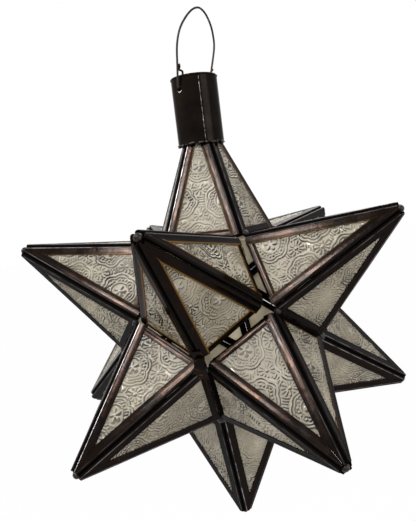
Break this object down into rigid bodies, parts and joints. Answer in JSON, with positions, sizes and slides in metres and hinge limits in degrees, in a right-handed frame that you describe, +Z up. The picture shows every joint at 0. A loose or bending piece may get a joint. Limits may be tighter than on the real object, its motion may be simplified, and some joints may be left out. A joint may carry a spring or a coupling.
{
  "type": "moravian star pendant",
  "caption": "Hanging star lantern of framed glass points on a round core, with a hinged point as a door, a tin collar, a wire bail and a lampholder inside.",
  "frame": {"origin": "the place under the top of the bail where a hook bears", "axes": "+Z up along the star's axis, -Y the way the door point faces, +X to the right seen from the door"},
  "size_m": [0.2642, 0.2793, 0.3769],
  "materials": {
    "tin_channel": "glossy dark brown oxidised tin with rust spots",
    "embossed_glass": "clear glass with an embossed pattern of flowers and scallops",
    "solder": "dull darkened solder",
    "tin_collar": "glossy dark brown oxidised tin",
    "tin_hinge": "dark oxidised tin",
    "iron_wire": "dark annealed iron wire",
    "steel": "bare steel",
    "zinc_steel": "zinc plated steel",
    "holder_plastic": "black thermosetting plastic",
    "brass": "bright brass",
    "lamp_glass": "clear glass",
    "lamp_cap": "nickel plated brass",
    "lamp_insulator": "black glass insulator",
    "lamp_contact": "soft solder contact",
    "filament": "tungsten wire"
  },
  "bodies": {
    "hanger": {"bail_wire": "iron_wire"},
    "lantern": {"top_point_frames": "tin_channel", "top_point_glass": "embossed_glass", "bottom_point_frames": "tin_channel", "bottom_point_glass": "embossed_glass", "upper_right_point_frames": "tin_channel", "upper_right_point_glass": "embossed_glass", "upper_back_right_point_frames": "tin_channel", "upper_back_right_point_glass": "embossed_glass", "upper_back_left_point_frames": "tin_channel", "upper_back_left_point_glass": "embossed_glass", "upper_left_point_frames": "tin_channel", "upper_left_point_glass": "embossed_glass", "lower_front_right_point_frames": "tin_channel", "lower_front_right_point_glass": "embossed_glass", "lower_right_point_frames": "tin_channel", "lower_right_point_glass": "embossed_glass", "lower_back_point_frames": "tin_channel", "lower_back_point_glass": "embossed_glass", "lower_left_point_frames": "tin_channel", "lower_left_point_glass": "embossed_glass", "lower_front_left_point_frames": "tin_channel", "lower_front_left_point_glass": "embossed_glass", "corner_solder": "solder", "opening_solder": "solder", "tip_solder": "solder", "collar": "tin_collar", "collar_solder": "solder", "hinge_knuckles": "tin_hinge", "hinge_pin": "iron_wire", "collar_disc": "steel", "nipple_washer": "steel", "cord_nipple": "zinc_steel", "nipple_nuts": "zinc_steel", "lampholder_cap": "holder_plastic", "lampholder_body": "holder_plastic", "screw_shell": "brass", "centre_contact": "brass", "terminal_screws": "brass"},
    "door": {"door_point_frames": "tin_channel", "door_point_glass": "embossed_glass", "door_tip_solder": "solder", "door_knuckles": "tin_hinge", "door_latch_tab": "tin_hinge"},
    "lamp": {"lamp_glass": "lamp_glass", "lamp_cap": "lamp_cap", "lamp_insulator": "lamp_insulator", "lamp_contact": "lamp_contact", "lamp_stem": "lamp_glass", "lamp_filament": "filament"}
  },
  "joints": [
    {"name": "bail_hinge", "type": "hinge", "parent": "hanger", "child": "lantern", "pos_m": [-0.0104, 0.00394, -0.05363], "axis": [0.4848, 0.8746, 0], "range_deg": [-13, 36]},
    {"name": "door_hinge", "type": "hinge", "parent": "lantern", "child": "door", "pos_m": [-0.04806, -0.0479, -0.18203], "axis": [-0.309, -0.4253, -0.8507], "range_deg": [-4.5, 90]},
    {"name": "lamp_unscrew", "type": "slide", "parent": "lantern", "child": "lamp", "axis": [0, 0, -1], "range_m": [0, 0.024]}
  ]
}
